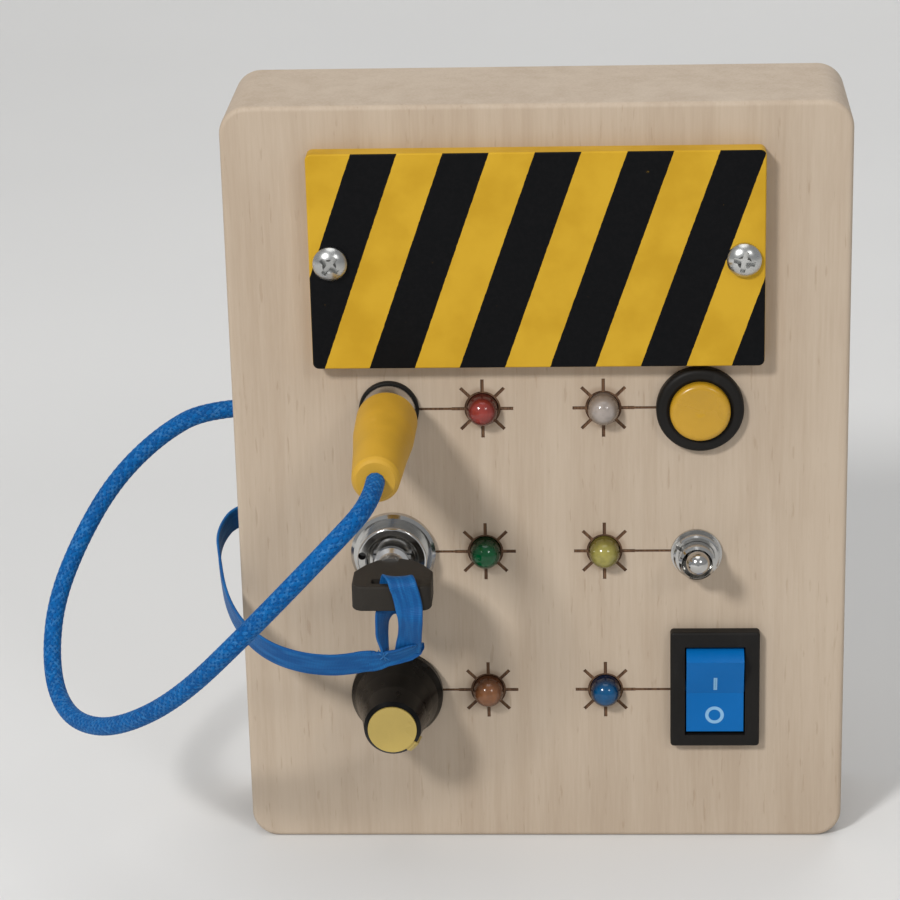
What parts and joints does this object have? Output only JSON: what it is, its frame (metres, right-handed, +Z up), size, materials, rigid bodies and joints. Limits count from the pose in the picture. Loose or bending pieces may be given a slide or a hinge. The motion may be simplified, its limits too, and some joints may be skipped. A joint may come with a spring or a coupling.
{
  "type": "busy board",
  "caption": "Small upright wooden busy board with lamps, a corded plug and socket, key lock, knob, push button, toggle and rocker switches, and a striped battery cover.",
  "frame": {"origin": "middle of the bottom edge face, on the surface that the board stands on, halfway through its thickness", "axes": "+Z up, the face with the controls looks along -Y, +X to the right when the face is looked at"},
  "size_m": [0.1342, 0.0753, 0.128],
  "materials": {
    "case_wood": "bare, satin",
    "back_wood": "bare, satin",
    "cover_paint": "painted yellow with black slanted stripes",
    "screw_steel": "bright plated",
    "rear_screw_steel": "zinc plated",
    "holder_plastic": "moulded",
    "cell_jacket": "printed film",
    "contact_metal": "nickel plated",
    "foam": "closed-cell foam",
    "led_red_lens": "tinted diffused",
    "led_clear_lens": "clear",
    "led_green_lens": "tinted diffused",
    "led_yellow_lens": "tinted diffused",
    "led_orange_lens": "tinted diffused",
    "led_blue_lens": "tinted diffused",
    "lead_metal": "tinned",
    "resistor_body": "lacquered",
    "signal_wire": "insulation",
    "supply_wire": "insulation",
    "return_wire": "insulation",
    "tab_brass": "bare",
    "chrome_trim": "polished",
    "black_matte": "moulded",
    "black_gloss": "glossy",
    "nut_steel": "nickel plated",
    "boot_yellow": "soft, matt",
    "cord_blue": "braided",
    "ribbon_blue": "woven, slight sheen",
    "key_steel": "nickel plated",
    "cap_yellow": "glossy",
    "button_yellow": "glossy",
    "spring_steel": "bare",
    "rocker_blue": "glossy"
  },
  "bodies": {
    "case": {"case_body": "case_wood", "back_panel": "back_wood", "back_panel_screws": "rear_screw_steel", "battery_cover": "cover_paint", "battery_cover_screws": "screw_steel", "battery_holder": "holder_plastic", "battery_cells": "cell_jacket", "battery_contacts": "contact_metal", "holder_pad": "foam", "led_red": "led_red_lens", "led_clear": "led_clear_lens", "led_green": "led_green_lens", "led_yellow": "led_yellow_lens", "led_orange": "led_orange_lens", "led_blue": "led_blue_lens", "led_leads": "lead_metal", "led_resistors": "resistor_body", "signal_wires": "signal_wire", "supply_wire": "supply_wire", "return_wire": "return_wire", "switch_terminals": "tab_brass", "jack_barrel": "chrome_trim", "jack_ring": "black_matte", "jack_insulator": "black_matte", "jack_nut": "nut_steel", "plug_cord": "cord_blue", "cord_knot": "cord_blue", "lock_body": "chrome_trim", "lock_nut": "nut_steel", "lock_cap": "black_matte", "ribbon_tail": "ribbon_blue", "ribbon_stop": "ribbon_blue", "pot_body": "nut_steel", "pot_nut": "nut_steel", "button_housing": "black_matte", "button_nut": "black_matte", "button_spring": "spring_steel", "toggle_body": "black_matte", "toggle_bushing": "chrome_trim", "toggle_nut": "chrome_trim", "rocker_frame": "black_matte"},
    "key": {"key_blade": "key_steel", "key_bow": "black_matte"},
    "rotor": {"lock_rotor": "chrome_trim"},
    "ribbon": {"ribbon_knot": "ribbon_blue", "ribbon_loop": "ribbon_blue"},
    "plug": {"plug_shell": "chrome_trim", "plug_pin": "tab_brass", "plug_boot": "boot_yellow"},
    "knob": {"knob_body": "black_gloss", "knob_cap": "cap_yellow", "pot_shaft": "nut_steel"},
    "button": {"button_cap": "button_yellow"},
    "toggle": {"toggle_lever": "chrome_trim"},
    "rocker": {"rocker_paddle": "rocker_blue"}
  },
  "joints": [
    {"name": "rocker_tilt", "type": "hinge", "parent": "case", "child": "rocker", "pos_m": [0.0286, -0.012, 0.02785], "axis": [-1, 0, 0], "range_deg": [0, 20]},
    {"name": "toggle_flip", "type": "hinge", "parent": "case", "child": "toggle", "pos_m": [0.0255, -0.0137, 0.052], "axis": [1, 0, 0], "range_deg": [0, 26]},
    {"name": "button_press", "type": "slide", "parent": "case", "child": "button", "axis": [0, 1, 0], "range_m": [0, 0.0015], "stiffness_N_per_m": 600, "springref_m": -0.001, "deforming": ["button_spring"]},
    {"name": "knob_turn", "type": "hinge", "parent": "case", "child": "knob", "pos_m": [-0.0244, 0, 0.0274], "axis": [0, 1, 0], "range_deg": [-285, 15]},
    {"name": "plug_pull", "type": "slide", "parent": "case", "child": "plug", "axis": [0, -1, 0], "range_m": [0, 0.018], "deforming": ["plug_cord"]},
    {"name": "key_pull", "type": "slide", "parent": "case", "child": "ribbon", "axis": [0, -1, 0], "range_m": [0, 0.018], "deforming": ["ribbon_tail"]},
    {"name": "key_turn", "type": "hinge", "parent": "ribbon", "child": "key", "pos_m": [-0.0244, 0, 0.0524], "axis": [0, 1, 0], "range_deg": [0, 90], "deforming": ["ribbon_loop"]},
    {"name": "rotor_turn", "type": "hinge", "parent": "case", "child": "rotor", "pos_m": [-0.0244, 0, 0.0524], "axis": [0, 1, 0], "range_deg": [0, 90]}
  ],
  "couplings": [
    {"joint": "rotor_turn", "follows": "key_turn", "ratio": 1}
  ]
}
